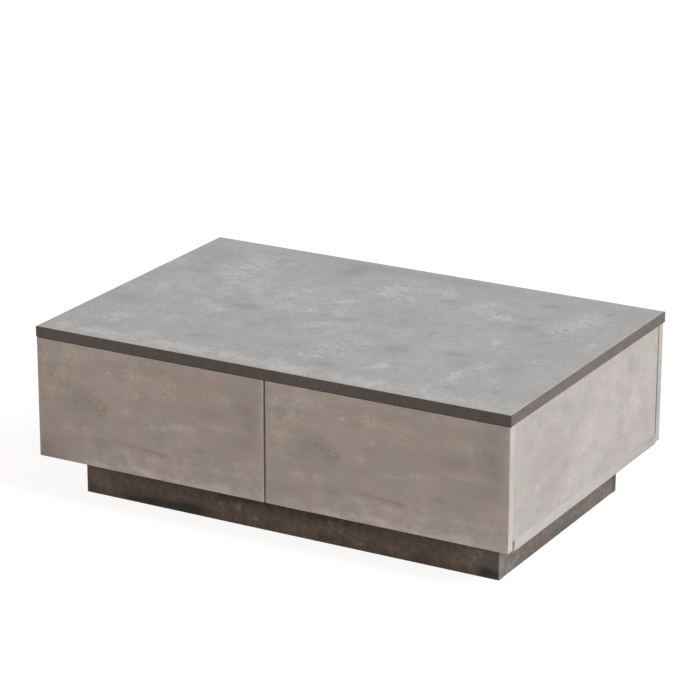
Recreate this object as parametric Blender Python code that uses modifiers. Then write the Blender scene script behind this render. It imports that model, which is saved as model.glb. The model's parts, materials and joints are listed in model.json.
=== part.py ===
"""Low coffee table with two handleless drawers, built board by board.

Metres, +Z up. +X runs along the table, -Y is the drawer side, and the origin
is on the floor under the middle of the top.
"""
import math

import bmesh
import bpy
from mathutils import Vector

# Clearances
SEAT = 0.0003
RUN = 0.0004
OVERRUN = 0.001
WELD = 0.00001

# Finish of the boards
EDGE_RADIUS = 0.0005
BOX_EDGE_RADIUS = 0.0008
EDGE_SEGMENTS = 2
ROUND_SEGMENTS = 32
HOLE_SEGMENTS = 16
SHARP_ANGLE = math.radians(35)

# Top panel
TOP_WIDTH = 0.900
TOP_DEPTH = 0.600
TOP_THICKNESS = 0.019
TOP_SIDE_OVERHANG = 0.001
TOP_REAR_OVERHANG = 0.0045

# Carcass boards
SIDE_THICKNESS = 0.016
SIDE_HEIGHT = 0.199
SIDE_TO_BACK_GAP = 0.0042
BOTTOM_THICKNESS = 0.019
BOTTOM_TO_FRONT_GAP = 0.007
BACK_THICKNESS = 0.016
BACK_RISE = 0.0035
PARTITION_THICKNESS = 0.016

# Plinth
PLINTH_HEIGHT = 0.078
PLINTH_THICKNESS = 0.016
PLINTH_SIDE_SETBACK = 0.049
PLINTH_FRONT_SETBACK = 0.069
PLINTH_REAR_SETBACK = 0.0695

# Drawer fronts
FRONT_THICKNESS = 0.016
FRONT_SPLIT = 0.004
FRONT_TOP_REVEAL = 0.001
FRONT_RISE = 0.0035

# Drawer boxes
BOX_HEIGHT = 0.150
BOX_RISE = 0.014
BOX_SIDE_THICKNESS = 0.015
BOX_BACK_THICKNESS = 0.015
HARDBOARD_THICKNESS = 0.003
HARDBOARD_RISE = 0.010
GROOVE_DEPTH = 0.006

# Cam locks in the box sides
CAM_RADIUS = 0.0075
CAM_DEPTH = 0.0115
CAM_FROM_FRONT = 0.024
CAM_FROM_EDGE = 0.027
CAM_CROSS_ARM = 0.0032
CAM_CROSS_WIDTH = 0.0013
CAM_CROSS_DEPTH = 0.0025

# Telescopic slides
RAIL_HEIGHT = 0.045
RAIL_THICKNESS = 0.0127
RAIL_SHEET = 0.0012
RAIL_LIP = 0.0014
RAIL_SETBACK = 0.002
RAIL_RISE = 0.060
RAIL_HOLE_RADIUS = 0.0022
RAIL_HOLE_INSET = 0.035
CABINET_RAIL_DEPTH = 0.0096
INTERMEDIATE_RAIL_DEPTH = 0.0076
CAGE_SETBACK = 0.130
CAGE_BRIDGE = 0.014
CAGE_SHEET = 0.001
BALL_ROW = 0.0035

# Push latches, in the room between the drawer boxes and the back panel
LATCH_ROOM = 0.0632
LATCH_PLATE_WIDTH = 0.044
LATCH_PLATE_HEIGHT = 0.018
LATCH_PLATE_THICKNESS = 0.003
LATCH_BODY_RADIUS = 0.007
LATCH_SCREW_RADIUS = 0.002
LATCH_SCREW_SPACING = 0.032
LATCH_RISE = 0.075
PLUNGER_RADIUS = 0.004
PLUNGER_TIP_RADIUS = 0.005
PLUNGER_TIP_LENGTH = 0.003
PLUNGER_REACH = 0.012
PLUNGER_SEATED = 0.034
PLUNGER_ROUNDING = 0.0006
STRIKER_SIZE = 0.020
STRIKER_THICKNESS = 0.0015

# Colours: red, green, blue, then roughness and metallic value
FINISHES = {
    "dark_laminate": ((0.235, 0.225, 0.210), 0.55, 0.0),
    "light_laminate": ((0.500, 0.455, 0.415), 0.60, 0.0),
    "box_board": ((0.620, 0.600, 0.570), 0.60, 0.0),
    "hardboard": ((0.560, 0.530, 0.490), 0.65, 0.0),
    "rail_steel": ((0.620, 0.630, 0.640), 0.35, 1.0),
    "cage_plastic": ((0.080, 0.080, 0.085), 0.50, 0.0),
    "cam_zinc": ((0.560, 0.560, 0.550), 0.40, 1.0),
    "latch_plastic": ((0.420, 0.420, 0.420), 0.45, 0.0),
}

# Heights of the stack, from the floor up
BOTTOM_LOW = PLINTH_HEIGHT + SEAT
BOTTOM_HIGH = BOTTOM_LOW + BOTTOM_THICKNESS
SIDE_LOW = BOTTOM_HIGH + SEAT
SIDE_HIGH = SIDE_LOW + SIDE_HEIGHT
TOP_LOW = SIDE_HIGH + SEAT
TOP_HIGH = TOP_LOW + TOP_THICKNESS

# Faces of the body, from the middle outwards and from the front back
BODY_HALF = TOP_WIDTH / 2 - TOP_SIDE_OVERHANG
BAY_OUTER = BODY_HALF - SIDE_THICKNESS
BAY_INNER = PARTITION_THICKNESS / 2
BAY_WIDTH = BAY_OUTER - BAY_INNER
BAY_MIDDLE = (BAY_OUTER + BAY_INNER) / 2
FRONT_FACE = -TOP_DEPTH / 2
FRONT_BACK = FRONT_FACE + FRONT_THICKNESS
BACK_FACE = TOP_DEPTH / 2 - TOP_REAR_OVERHANG
BACK_INSIDE = BACK_FACE - BACK_THICKNESS
SIDE_FRONT = FRONT_BACK + SEAT
SIDE_REAR = BACK_INSIDE - SIDE_TO_BACK_GAP

# Drawer box, about the middle of its bay
BOX_HALF = BAY_WIDTH / 2 - RAIL_THICKNESS - 2 * SEAT
BOX_INSIDE = BOX_HALF - BOX_SIDE_THICKNESS
BOX_LOW = BOTTOM_HIGH + BOX_RISE
BOX_HIGH = BOX_LOW + BOX_HEIGHT
BOX_FRONT = FRONT_BACK + SEAT
BOX_REAR = BACK_INSIDE - LATCH_ROOM

# Slides, as long as the box
RAIL_LENGTH = BOX_REAR - BOX_FRONT
RAIL_MIDDLE = FRONT_BACK + RAIL_SETBACK + RAIL_LENGTH / 2
RAIL_LEVEL = BOX_LOW + RAIL_RISE
CAGE_LENGTH = RAIL_LENGTH - 2 * CAGE_SETBACK


def clear_scene():
    """Remove every object that the file opened with."""
    for obj in list(bpy.data.objects):
        bpy.data.objects.remove(obj, do_unlink=True)


def new_collection(name):
    """A collection under the scene's own."""
    collection = bpy.data.collections.new(name)
    bpy.context.scene.collection.children.link(collection)
    return collection


def new_material(name):
    """A Principled material with the colour, roughness and metallic value of FINISHES."""
    colour, roughness, metallic = FINISHES[name]
    material = bpy.data.materials.new(name)
    material.use_nodes = True
    shader = material.node_tree.nodes["Principled BSDF"]
    shader.inputs["Base Color"].default_value = (*colour, 1.0)
    shader.inputs["Roughness"].default_value = roughness
    shader.inputs["Metallic"].default_value = metallic
    return material


def put(obj, at, parent=None):
    """Place an object at a world point, also under an empty that stands elsewhere."""
    origin = parent.location if parent else Vector((0, 0, 0))
    obj.location = Vector(at) - origin
    obj.parent = parent
    return obj


def slide_empty(name, at):
    """The empty that a drawer's pieces hang on, on the line that the drawer slides along."""
    empty = bpy.data.objects.new(name, None)
    empty.empty_display_type = "SINGLE_ARROW"
    parts.objects.link(empty)
    return put(empty, at)


def mesh_object(name, shape, finish=None):
    """Turn a bmesh into an object: a part if it has a finish, and otherwise a cutter."""
    mesh = bpy.data.meshes.new(name)
    shape.to_mesh(mesh)
    shape.free()
    return link_object(name, mesh, finish)


def link_object(name, mesh, finish):
    """Link a mesh as a part with its own material, or as a hidden wire cutter."""
    obj = bpy.data.objects.new(name, mesh)
    if finish:
        mesh.materials.append(new_material(finish))
        parts.objects.link(obj)
    else:
        cutters.objects.link(obj)
        obj.hide_render = True
        obj.display_type = "WIRE"
    return obj


def box(name, low, high, finish=None, parent=None):
    """A box between two corners, with its origin at its middle."""
    low, high = Vector(low), Vector(high)
    shape = bmesh.new()
    bmesh.ops.create_cube(shape, size=1)
    bmesh.ops.scale(shape, vec=high - low, verts=shape.verts)
    return put(mesh_object(name, shape, finish), (low + high) / 2, parent)


def board(name, low, high, finish, parent=None, rounding=EDGE_RADIUS):
    """A board: a box whose edges are eased by a small radius."""
    obj = box(name, low, high, finish, parent)
    ease_edges(obj, rounding, EDGE_SEGMENTS)
    return obj


def ease_edges(obj, width, segments):
    """Round an object's sharp edges."""
    bevel = obj.modifiers.new("eased_edges", "BEVEL")
    bevel.width = width
    bevel.segments = segments
    bevel.limit_method = "ANGLE"


def cut(obj, cutter):
    """Cut one closed shape out of an object."""
    boolean = obj.modifiers.new(cutter.name, "BOOLEAN")
    boolean.operation = "DIFFERENCE"
    boolean.solver = "EXACT"
    boolean.object = cutter


def join(obj, addition):
    """Make one closed shape part of an object."""
    boolean = obj.modifiers.new(addition.name, "BOOLEAN")
    boolean.operation = "UNION"
    boolean.solver = "EXACT"
    boolean.object = addition


def cylinder(name, radius, length, turn, at, finish=None, parent=None, segments=ROUND_SEGMENTS):
    """A cylinder about its own middle, turned from the Z axis by the given Euler angles."""
    shape = bmesh.new()
    bmesh.ops.create_cone(shape, cap_ends=True, segments=segments, radius1=radius, radius2=radius,
                          depth=length)
    obj = mesh_object(name, shape, finish)
    obj.rotation_euler = turn
    smooth(obj.data)
    return put(obj, at, parent)


def smooth(mesh):
    """Shade the round faces smooth and keep the rims sharp."""
    mesh.shade_smooth()
    mesh.set_sharp_from_angle(angle=SHARP_ANGLE)


def extrusion(name, outline, length, at, finish=None, parent=None):
    """A flat XZ outline extruded along Y, equally far to both sides of its place."""
    curve = bpy.data.curves.new(name, "CURVE")
    curve.dimensions = "2D"
    curve.fill_mode = "BOTH"
    curve.extrude = length / 2
    spline = curve.splines.new("POLY")
    spline.points.add(len(outline) - 1)
    for point, (across, up) in zip(spline.points, outline):
        point.co = (across, up, 0, 1)
    spline.use_cyclic_u = True
    carrier = bpy.data.objects.new(name, curve)
    cutters.objects.link(carrier)
    bpy.context.view_layer.update()
    mesh = bpy.data.meshes.new_from_object(carrier.evaluated_get(bpy.context.evaluated_depsgraph_get()))
    bpy.data.objects.remove(carrier, do_unlink=True)
    shape = bmesh.new()
    shape.from_mesh(mesh)
    bmesh.ops.remove_doubles(shape, verts=shape.verts, dist=WELD)
    bmesh.ops.recalc_face_normals(shape, faces=shape.faces)
    shape.to_mesh(mesh)
    shape.free()
    mesh.name = name
    obj = link_object(name, mesh, finish)
    obj.rotation_euler = (math.pi / 2, 0, 0)
    return put(obj, at, parent)


def turned(name, profile, at, finish, turn):
    """A turned shape: a profile of (radius, height) points, from its top down, about Z."""
    mesh = bpy.data.meshes.new(name)
    points = [(radius, 0, height) for radius, height in profile]
    mesh.from_pydata(points, [(i, i + 1) for i in range(len(points) - 1)], [])
    obj = link_object(name, mesh, finish)
    screw = obj.modifiers.new("turned", "SCREW")
    screw.steps = ROUND_SEGMENTS
    screw.render_steps = ROUND_SEGMENTS
    screw.use_merge_vertices = True
    screw.merge_threshold = WELD
    screw.use_smooth_shade = True
    obj.rotation_euler = turn
    return put(obj, at)


def channel(half_height, depth, web, flange, lip, opens):
    """The outline of a C channel. Its web's outer face is at 0, and it opens to the given side.

    A lip of the web's thickness hangs from the free end of each flange, where lip is not 0.
    """
    inner = half_height - flange
    upper = [(web, inner), (depth, inner), (depth, half_height), (0, half_height)]
    if lip:
        neck = depth - web
        upper = [(web, inner), (neck, inner), (neck, inner - lip), (depth, inner - lip),
                 (depth, half_height), (0, half_height)]
    lower = [(across, -up) for across, up in reversed(upper)]
    return [(opens * across, up) for across, up in upper + lower]


def rail(name, web_outside, opens, half_height, depth, lip, parent=None):
    """One rail of a slide: a channel of bent sheet, from the outer face of its web."""
    outline = channel(half_height, depth, RAIL_SHEET, RAIL_SHEET, lip, opens)
    return extrusion(name, outline, RAIL_LENGTH, (web_outside, RAIL_MIDDLE, RAIL_LEVEL), "rail_steel", parent)


def drill(rail_object, web_outside, opens):
    """Three screw holes along the web of a rail that is screwed to a board."""
    for place in (-1, 0, 1):
        along = RAIL_MIDDLE + place * (RAIL_LENGTH / 2 - RAIL_HOLE_INSET)
        hole = cylinder("%s_hole" % rail_object.name, RAIL_HOLE_RADIUS, RAIL_SHEET + 2 * OVERRUN,
                        (0, math.pi / 2, 0), (web_outside + opens * RAIL_SHEET / 2, along, RAIL_LEVEL),
                        segments=HOLE_SEGMENTS)
        cut(rail_object, hole)


def ball_cage(name, web_outside, opens, half_height, depth):
    """A ball cage: two ball rows in one channel, whose web is open between its two ends."""
    outline = channel(half_height, depth, CAGE_SHEET, BALL_ROW, 0, opens)
    cage = extrusion(name, outline, CAGE_LENGTH, (web_outside, RAIL_MIDDLE, RAIL_LEVEL), "cage_plastic")
    half_window = CAGE_LENGTH / 2 - CAGE_BRIDGE
    faces = sorted((web_outside - opens * OVERRUN, web_outside + opens * (CAGE_SHEET + OVERRUN)))
    rows = half_height - BALL_ROW
    window = box(name + "_window", (faces[0], RAIL_MIDDLE - half_window, RAIL_LEVEL - rows),
                 (faces[1], RAIL_MIDDLE + half_window, RAIL_LEVEL + rows))
    cut(cage, window)
    return cage


def telescopic_slide(side, wall, opens, drawer):
    """The five pieces of one slide, nested with a running gap between each two."""
    half = RAIL_HEIGHT / 2
    inset = SEAT
    web_outside = wall + opens * inset
    cabinet_rail = rail("%s_cabinet_rail" % side, web_outside, opens, half, CABINET_RAIL_DEPTH, RAIL_LIP)
    drill(cabinet_rail, web_outside, opens)
    lip = inset + CABINET_RAIL_DEPTH - RAIL_SHEET
    inset += RAIL_SHEET + RUN
    half -= RAIL_SHEET + RUN
    ball_cage("%s_outer_ball_cage" % side, wall + opens * inset, opens, half, lip - RUN - inset)
    inset += CAGE_SHEET + RUN
    half -= BALL_ROW + RUN
    rail("%s_intermediate_rail" % side, wall + opens * inset, opens, half, INTERMEDIATE_RAIL_DEPTH, RAIL_LIP)
    lip = inset + INTERMEDIATE_RAIL_DEPTH - RAIL_SHEET
    inset += RAIL_SHEET + RUN
    half -= RAIL_SHEET + RUN
    ball_cage("%s_inner_ball_cage" % side, wall + opens * inset, opens, half, lip - RUN - inset)
    inset += CAGE_SHEET + RUN
    half -= BALL_ROW + RUN
    far_side = SEAT + RAIL_THICKNESS
    web_outside = wall + opens * far_side
    drawer_rail = rail("%s_drawer_rail" % side, web_outside, -opens, half, far_side - inset, 0, drawer)
    drill(drawer_rail, web_outside, -opens)


def carcass():
    """The top, bottom, sides, back and partition."""
    board("top_panel", (-TOP_WIDTH / 2, FRONT_FACE, TOP_LOW), (TOP_WIDTH / 2, -FRONT_FACE, TOP_HIGH),
          "dark_laminate")
    board("bottom_panel", (-BODY_HALF, FRONT_BACK + BOTTOM_TO_FRONT_GAP, BOTTOM_LOW),
          (BODY_HALF, BACK_INSIDE - SEAT, BOTTOM_HIGH), "light_laminate")
    board("left_side_panel", (-BODY_HALF, SIDE_FRONT, SIDE_LOW), (-BAY_OUTER, SIDE_REAR, SIDE_HIGH),
          "light_laminate")
    board("right_side_panel", (BAY_OUTER, SIDE_FRONT, SIDE_LOW), (BODY_HALF, SIDE_REAR, SIDE_HIGH),
          "light_laminate")
    board("centre_partition", (-BAY_INNER, SIDE_FRONT, SIDE_LOW), (BAY_INNER, SIDE_REAR, SIDE_HIGH),
          "light_laminate")
    board("back_panel", (-BODY_HALF, BACK_INSIDE, BOTTOM_LOW + BACK_RISE),
          (BODY_HALF, BACK_FACE, SIDE_HIGH), "light_laminate")


def plinth():
    """Four dark boards under the bottom panel, and a fifth across the middle."""
    half = BODY_HALF - PLINTH_SIDE_SETBACK
    front = FRONT_FACE + PLINTH_FRONT_SETBACK
    rear = BACK_FACE - PLINTH_REAR_SETBACK
    long_boards = (("plinth_front_board", front), ("plinth_back_board", rear - PLINTH_THICKNESS))
    for name, near in long_boards:
        board(name, (-half, near, 0), (half, near + PLINTH_THICKNESS, PLINTH_HEIGHT), "dark_laminate")
    near = front + PLINTH_THICKNESS + SEAT
    far = rear - PLINTH_THICKNESS - SEAT
    short_boards = (("plinth_left_board", -half), ("plinth_centre_board", -PLINTH_THICKNESS / 2),
                    ("plinth_right_board", half - PLINTH_THICKNESS))
    for name, edge in short_boards:
        board(name, (edge, near, 0), (edge + PLINTH_THICKNESS, far, PLINTH_HEIGHT), "dark_laminate")


def drawer_front(side, sign, drawer):
    """The laminated front, with a stopped groove for the hardboard bottom."""
    edges = sorted((sign * FRONT_SPLIT / 2, sign * BODY_HALF))
    front = board("%s_drawer_front" % side, (edges[0], FRONT_FACE, BOTTOM_LOW + FRONT_RISE),
                  (edges[1], FRONT_BACK, TOP_LOW - FRONT_TOP_REVEAL), "light_laminate", drawer)
    reach = BOX_INSIDE + GROOVE_DEPTH
    cut(front, groove("%s_front_groove" % side, (sign * BAY_MIDDLE - reach, FRONT_BACK - GROOVE_DEPTH),
                      (sign * BAY_MIDDLE + reach, FRONT_BACK + OVERRUN)))


def groove(name, low, high):
    """The cutter of a groove for the hardboard bottom, between two corners of its plan."""
    under = BOX_LOW + HARDBOARD_RISE - SEAT
    return box(name, (*low, under), (*high, under + HARDBOARD_THICKNESS + 2 * SEAT))


def box_side(side, hand, bay, sign, drawer):
    """One side of a drawer box: a grooved board with the pockets of its two cam locks."""
    faces = (bay + sign * BOX_INSIDE, bay + sign * BOX_HALF)
    name = "%s_drawer_%s_side" % (side, hand)
    side_board = board(name, (min(faces), BOX_FRONT, BOX_LOW), (max(faces), BOX_REAR, BOX_HIGH),
                       "box_board", drawer, BOX_EDGE_RADIUS)
    cut_faces = sorted((faces[0] - sign * OVERRUN, faces[0] + sign * GROOVE_DEPTH))
    cut(side_board, groove(name + "_groove", (cut_faces[0], BOX_FRONT - OVERRUN),
                           (cut_faces[1], BOX_REAR + OVERRUN)))
    for place, level in (("lower", BOX_LOW + CAM_FROM_EDGE), ("upper", BOX_HIGH - CAM_FROM_EDGE)):
        at = Vector((faces[0], BOX_FRONT + CAM_FROM_FRONT, level))
        cam_name = "%s_drawer_%s_%s_cam" % (side, hand, place)
        cam_lock(cam_name, at, sign, drawer)
        depth = CAM_DEPTH + 2 * SEAT
        pocket = cylinder(cam_name + "_pocket", CAM_RADIUS + SEAT, depth + OVERRUN, (0, math.pi / 2, 0),
                          at + Vector((sign * (depth - OVERRUN) / 2, 0, 0)))
        cut(side_board, pocket)


def cam_lock(name, at, sign, drawer):
    """A round cam lock just under the face of its board, with a cross for the screwdriver."""
    turn = (0, math.pi / 2, 0)
    cam = cylinder(name, CAM_RADIUS, CAM_DEPTH, turn, at + Vector((sign * (SEAT + CAM_DEPTH / 2), 0, 0)),
                   "cam_zinc", drawer)
    faces = sorted((at.x - sign * OVERRUN, at.x + sign * (SEAT + CAM_CROSS_DEPTH)))
    arm, half = CAM_CROSS_ARM, CAM_CROSS_WIDTH / 2
    cross = box(name + "_cross", (faces[0], at.y - arm, at.z - half), (faces[1], at.y + arm, at.z + half))
    upright = box(name + "_cross_upright", (faces[0], at.y - half, at.z - arm),
                  (faces[1], at.y + half, at.z + arm))
    join(cross, upright)
    cut(cam, cross)


def box_back_and_bottom(side, bay, drawer):
    """The back of a drawer box, and the hardboard that lies in the grooves of all four boards."""
    back_front = BOX_REAR - BOX_BACK_THICKNESS
    half = BOX_INSIDE - SEAT
    back = board("%s_drawer_back" % side, (bay - half, back_front, BOX_LOW),
                 (bay + half, BOX_REAR, BOX_HIGH), "box_board", drawer, BOX_EDGE_RADIUS)
    cut(back, groove("%s_back_groove" % side, (bay - half - OVERRUN, back_front - OVERRUN),
                     (bay + half + OVERRUN, back_front + GROOVE_DEPTH)))
    reach = GROOVE_DEPTH - SEAT
    low = BOX_LOW + HARDBOARD_RISE
    box("%s_drawer_bottom" % side, (bay - BOX_INSIDE - reach, FRONT_BACK - reach, low),
        (bay + BOX_INSIDE + reach, back_front + reach, low + HARDBOARD_THICKNESS), "hardboard", drawer)


def push_latch(side, bay, drawer):
    """A latch on the back panel, its plunger, and the striker plate that the plunger meets."""
    level = BOX_LOW + LATCH_RISE
    half = STRIKER_SIZE / 2
    plate_front = BOX_REAR + SEAT
    plate_rear = plate_front + STRIKER_THICKNESS
    striker = box("%s_striker_plate" % side, (bay - half, plate_front, level - half),
                  (bay + half, plate_rear, level + half), "rail_steel", drawer)
    ease_edges(striker, SEAT, 1)
    tip = plate_rear + SEAT
    latch_plunger("%s_latch_plunger" % side, (bay, tip, level))
    latch_housing("%s_latch_housing" % side, bay, tip + PLUNGER_REACH, level)


def latch_plunger(name, at):
    """A plunger with a wider tip, turned about its axis and laid along Y from its tip back."""
    neck = PLUNGER_TIP_LENGTH
    ease = PLUNGER_ROUNDING
    length = PLUNGER_REACH + PLUNGER_SEATED
    profile = [(0, length), (PLUNGER_RADIUS, length), (PLUNGER_RADIUS, neck),
               (PLUNGER_TIP_RADIUS, neck), (PLUNGER_TIP_RADIUS, ease), (PLUNGER_TIP_RADIUS - ease, 0),
               (0, 0)]
    turned(name, profile, at, "latch_plastic", (-math.pi / 2, 0, 0))


def latch_housing(name, bay, front, level):
    """A tube on a screwed plate against the back panel, bored for the plunger from the front."""
    rear = BACK_INSIDE - SEAT
    along = (math.pi / 2, 0, 0)
    half = LATCH_PLATE_WIDTH / 2
    rise = LATCH_PLATE_HEIGHT / 2
    plate_front = rear - LATCH_PLATE_THICKNESS
    plate = board(name, (bay - half, plate_front, level - rise), (bay + half, rear, level + rise),
                  "latch_plastic")
    tube_rear = rear - LATCH_PLATE_THICKNESS / 2
    join(plate, cylinder(name + "_tube", LATCH_BODY_RADIUS, tube_rear - front, along,
                         (bay, (tube_rear + front) / 2, level)))
    bore_rear = front + PLUNGER_SEATED + RUN
    bore_front = front - OVERRUN
    cut(plate, cylinder(name + "_bore", PLUNGER_RADIUS + RUN, bore_rear - bore_front, along,
                        (bay, (bore_rear + bore_front) / 2, level)))
    for hand, sign in (("left", -1), ("right", 1)):
        cut(plate, cylinder("%s_%s_screw_hole" % (name, hand), LATCH_SCREW_RADIUS,
                            LATCH_PLATE_THICKNESS + 2 * OVERRUN, along,
                            (bay + sign * LATCH_SCREW_SPACING / 2, tube_rear, level)))


def drawer_bay(side, sign):
    """One bay: the drawer on its two slides, and its latch."""
    bay = sign * BAY_MIDDLE
    drawer = slide_empty("%s_drawer_slide" % side, (bay, FRONT_BACK, RAIL_LEVEL))
    drawer_front(side, sign, drawer)
    for hand, hand_sign in (("left", -1), ("right", 1)):
        box_side(side, hand, bay, hand_sign, drawer)
        wall = bay + hand_sign * BAY_WIDTH / 2
        telescopic_slide("%s_drawer_%s" % (side, hand), wall, -hand_sign, drawer)
    box_back_and_bottom(side, bay, drawer)
    push_latch(side, bay, drawer)


clear_scene()
parts = new_collection("coffee_table")
cutters = new_collection("cutters")
carcass()
plinth()
for bay_side, bay_sign in (("left", -1), ("right", 1)):
    drawer_bay(bay_side, bay_sign)
bpy.context.view_layer.update()
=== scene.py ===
# %% [markdown]
# A low coffee table with two drawers, dressed for its picture. The construction comes ready-made as a
# frame of solids at their real size. This lesson gives each piece the surface that the eye meets:
# printed laminate on boards, rolled steel on the drawer slides, die-cast zinc, moulded plastic.
# Everything is in metres, with +Z up, the drawers towards -Y, and the floor at z = 0.

# %% Load the frame
import json
import math

import bmesh
import bpy
import numpy as np
from mathutils import Matrix, Vector


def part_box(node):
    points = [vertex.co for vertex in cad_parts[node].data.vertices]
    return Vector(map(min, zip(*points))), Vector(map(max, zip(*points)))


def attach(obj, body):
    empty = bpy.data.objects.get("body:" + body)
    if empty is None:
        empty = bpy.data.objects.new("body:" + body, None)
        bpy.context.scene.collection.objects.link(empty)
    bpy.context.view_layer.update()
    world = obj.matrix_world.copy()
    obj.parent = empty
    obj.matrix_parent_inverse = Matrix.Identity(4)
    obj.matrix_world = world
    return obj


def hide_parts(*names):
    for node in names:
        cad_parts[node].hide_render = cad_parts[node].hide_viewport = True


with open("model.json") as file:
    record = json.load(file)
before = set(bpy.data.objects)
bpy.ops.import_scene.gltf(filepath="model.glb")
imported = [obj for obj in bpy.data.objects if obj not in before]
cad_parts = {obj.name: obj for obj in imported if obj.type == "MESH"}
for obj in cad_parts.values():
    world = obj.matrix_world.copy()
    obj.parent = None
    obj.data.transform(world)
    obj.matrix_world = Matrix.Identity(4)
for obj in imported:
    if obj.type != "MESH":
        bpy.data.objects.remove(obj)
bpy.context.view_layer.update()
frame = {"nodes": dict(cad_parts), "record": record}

nodes = frame["nodes"]
bodies = frame["record"]["behaviour"]["bodies"]
body_of_node = {node: body for body, members in bodies.items() for node in members}

# %% [markdown]
# The camera stands where the picture was taken from: about five metres off and thirty degrees round to
# the right, looking down a little through a long lens. Its three axes are worked out from the line of
# sight, so that the small roll of the picture can be added as a turn about that line.

# %% Camera
EYE = Vector((2.4029, -4.3343, 1.9623))
LINE_OF_SIGHT = Vector((-0.46007, 0.82651, -0.32437)).normalized()
ROLL = math.radians(0.133)
SENSOR_MM = 36.0
PICTURE_WIDTH_PX = 696
FOCAL_LENGTH_PX = 3049.9


def in_scene(name, data):
    """A new object for a camera, mesh or lamp, linked to the scene."""
    thing = bpy.data.objects.new(name, data)
    bpy.context.scene.collection.objects.link(thing)
    return thing


level_right = LINE_OF_SIGHT.cross(Vector((0, 0, 1))).normalized()
level_up = level_right.cross(LINE_OF_SIGHT)
camera_right = level_right * math.cos(ROLL) + level_up * math.sin(ROLL)
camera_up = level_up * math.cos(ROLL) - level_right * math.sin(ROLL)
lens = bpy.data.cameras.new("photo_camera")
lens.sensor_width = SENSOR_MM
lens.lens = FOCAL_LENGTH_PX / PICTURE_WIDTH_PX * SENSOR_MM
camera = in_scene("photo_camera", lens)
turned_axes = Matrix((camera_right, camera_up, -LINE_OF_SIGHT)).transposed().to_4x4()
camera.matrix_world = Matrix.Translation(EYE) @ turned_axes
bpy.context.scene.camera = camera
print("lens, mm:", round(lens.lens, 1))

# %% [markdown]
# Node trees get long when each node takes four lines of Python. These helpers add a node, set its
# properties, and plug in or type in its sockets in one call. A colour is written as a maker reads it
# from a swatch, in 0 to 255 steps, and turned into the linear light that the shader works with.

# %% Nodes in one call
def tone(red, green, blue):
    """A swatch colour as linear light: each channel is a share of 255, through the sRGB curve."""
    share = np.array((red, green, blue)) / 255
    linear = np.where(share <= 0.04045, share / 12.92, ((share + 0.055) / 1.055) ** 2.4)
    return (*linear.tolist(), 1.0)


def put_in(tree, socket, value):
    """Link a socket to another node's output, or type a plain value into it."""
    if isinstance(value, bpy.types.NodeSocket):
        tree.links.new(value, socket)
    elif value is not None:
        socket.default_value = value


def dress(tree, made, **named):
    """Fill a node's sockets by name, with _ for each space."""
    for key, value in named.items():
        put_in(tree, made.inputs[key.replace("_", " ")], value)


def node(tree, kind, *positional, settings=None, **named):
    """Add a node. Its sockets are filled in order, or by name."""
    made = tree.nodes.new("ShaderNode" + kind)
    for key, value in (settings or {}).items():
        setattr(made, key, value)
    for socket, value in zip(made.inputs, positional):
        put_in(tree, socket, value)
    dress(tree, made, **named)
    return made


def calc(tree, operation, first, second=None, third=None, clamp=False):
    """One step of arithmetic on numbers."""
    settings = {"operation": operation, "use_clamp": clamp}
    return node(tree, "Math", first, second, third, settings=settings).outputs[0]


def calc_place(tree, operation, *values, **named):
    """One step of arithmetic on places or colours."""
    return node(tree, "VectorMath", *values, settings={"operation": operation}, **named).outputs[0]


def mix_numbers(tree, first, second, share):
    """The first number times a share, plus the second times the rest."""
    return calc(tree, "MULTIPLY_ADD", first, share, calc(tree, "MULTIPLY", second, 1 - share))


print("a swatch of 128, as linear light:", round(tone(128, 128, 128)[0], 3))

# %% [markdown]
# A finish is built from a few patterns: clouds of noise as large as the marks on the real thing, laid
# over a range of colour or roughness, and a bump for relief too fine to model. Nearly all of a noise
# lies between 0.3 and 0.7, so that span is what gets laid over a range of roughness.

# %% Patterns of a finish
NOISE_SPAN = (0.3, 0.7)
ALL = (0.0, 1.0)
ROUGHNESS_SWING = (-0.05, 0.07)


def cloud(tree, place, size, detail, roughness, output=0):
    """A noise whose lumps are about as large as size, as a number, or by its output's name as a colour."""
    made = node(tree, "TexNoise", Vector=place, Scale=1 / size, Detail=detail, Roughness=roughness)
    return made.outputs[output]


def object_place(tree):
    """Where a point lies on its object, in metres."""
    return node(tree, "TexCoord").outputs["Object"]


def stretched(tree, place, scale, shift=(0, 0, 0)):
    """The same places, stretched along their axes and then moved."""
    return node(tree, "Mapping", Vector=place, Scale=scale, Location=shift).outputs[0]


def blend(tree, share, first, second, mode="MIX"):
    """Two colours mixed by a share, or one laid over the other."""
    made = node(tree, "Mix", settings={"data_type": "RGBA", "blend_type": mode})
    sockets = {socket.identifier: socket for socket in made.inputs}
    for key, value in (("Factor_Float", share), ("A_Color", first), ("B_Color", second)):
        put_in(tree, sockets[key], value)
    return next(socket for socket in made.outputs if socket.identifier == "Result_Color")


def fit_range(tree, value, span, onto):
    """A number's span laid over another one, and held at its ends."""
    return node(tree, "MapRange", value, *span, *onto).outputs[0]


def uneven(tree, noise, roughness):
    """A roughness that a noise takes a little down and up."""
    return fit_range(tree, noise, NOISE_SPAN, [roughness + swing for swing in ROUGHNESS_SWING])


def dent(tree, height, distance, strength):
    """Relief too fine to model, as a bump that is so many metres deep."""
    return node(tree, "Bump", Height=height, Distance=distance, Strength=strength).outputs[0]


def new_finish(name):
    """An empty material with its tree and its shader."""
    finish = bpy.data.materials.new(name)
    finish.use_nodes = True
    return finish, finish.node_tree, finish.node_tree.nodes["Principled BSDF"]


print("a roughness swings by:", ROUGHNESS_SWING)

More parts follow.
